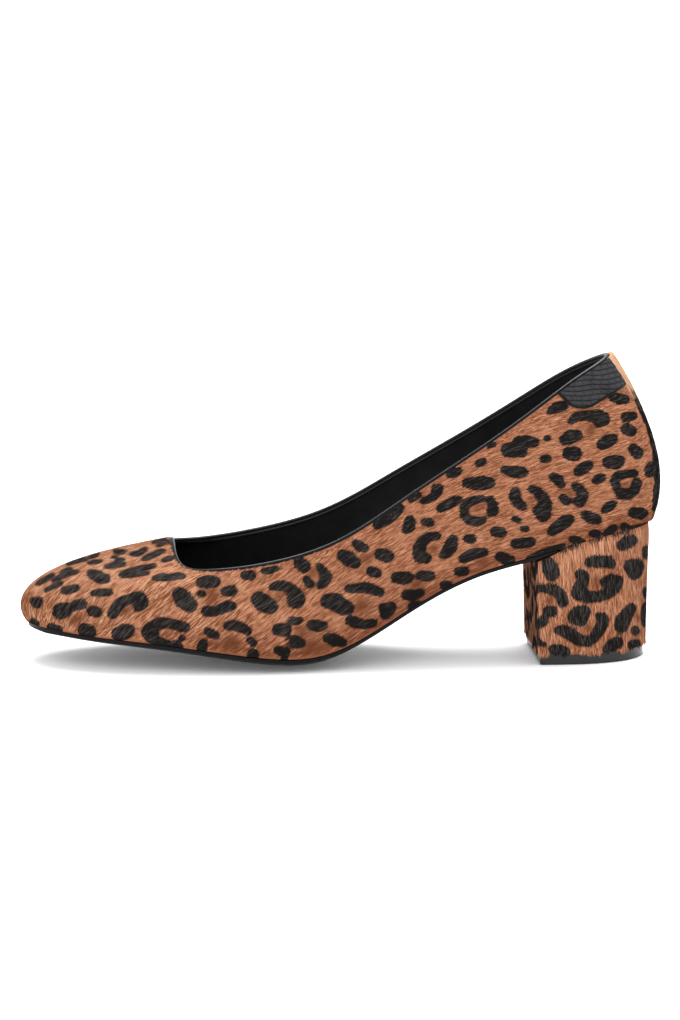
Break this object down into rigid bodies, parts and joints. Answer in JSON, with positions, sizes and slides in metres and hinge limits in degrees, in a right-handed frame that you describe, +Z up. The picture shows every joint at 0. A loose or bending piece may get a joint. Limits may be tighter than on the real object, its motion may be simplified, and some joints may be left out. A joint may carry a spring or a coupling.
{
  "type": "block heel pump",
  "caption": "Women's closed block-heel pump in spotted hair-on hide with bound topline, embossed heel tabs, thin sole and covered heel; stands empty on heel and forefoot.",
  "frame": {"origin": "on the floor, under the middle of the shoe's box", "axes": "+X from toe to heel, +Y towards the inner side of the foot, +Z up"},
  "size_m": [0.242, 0.0772, 0.1149],
  "materials": {
    "spotted_hide": "short tan hair with black rosettes",
    "black_leather": "smooth semi-gloss binding",
    "black_embossed": "embossed scales, semi-gloss",
    "black_sole": "satin black",
    "black_lining": "matte black",
    "grey_rubber": "smooth dark grey"
  },
  "bodies": {
    "root": {"upper": "spotted_hide", "topline_binding": "black_leather", "heel_tab_outer": "black_embossed", "heel_tab_inner": "black_embossed", "back_strip": "spotted_hide", "outsole": "black_sole", "insole": "black_lining", "heel_block": "spotted_hide", "heel_lift": "grey_rubber"}
  },
  "joints": []
}
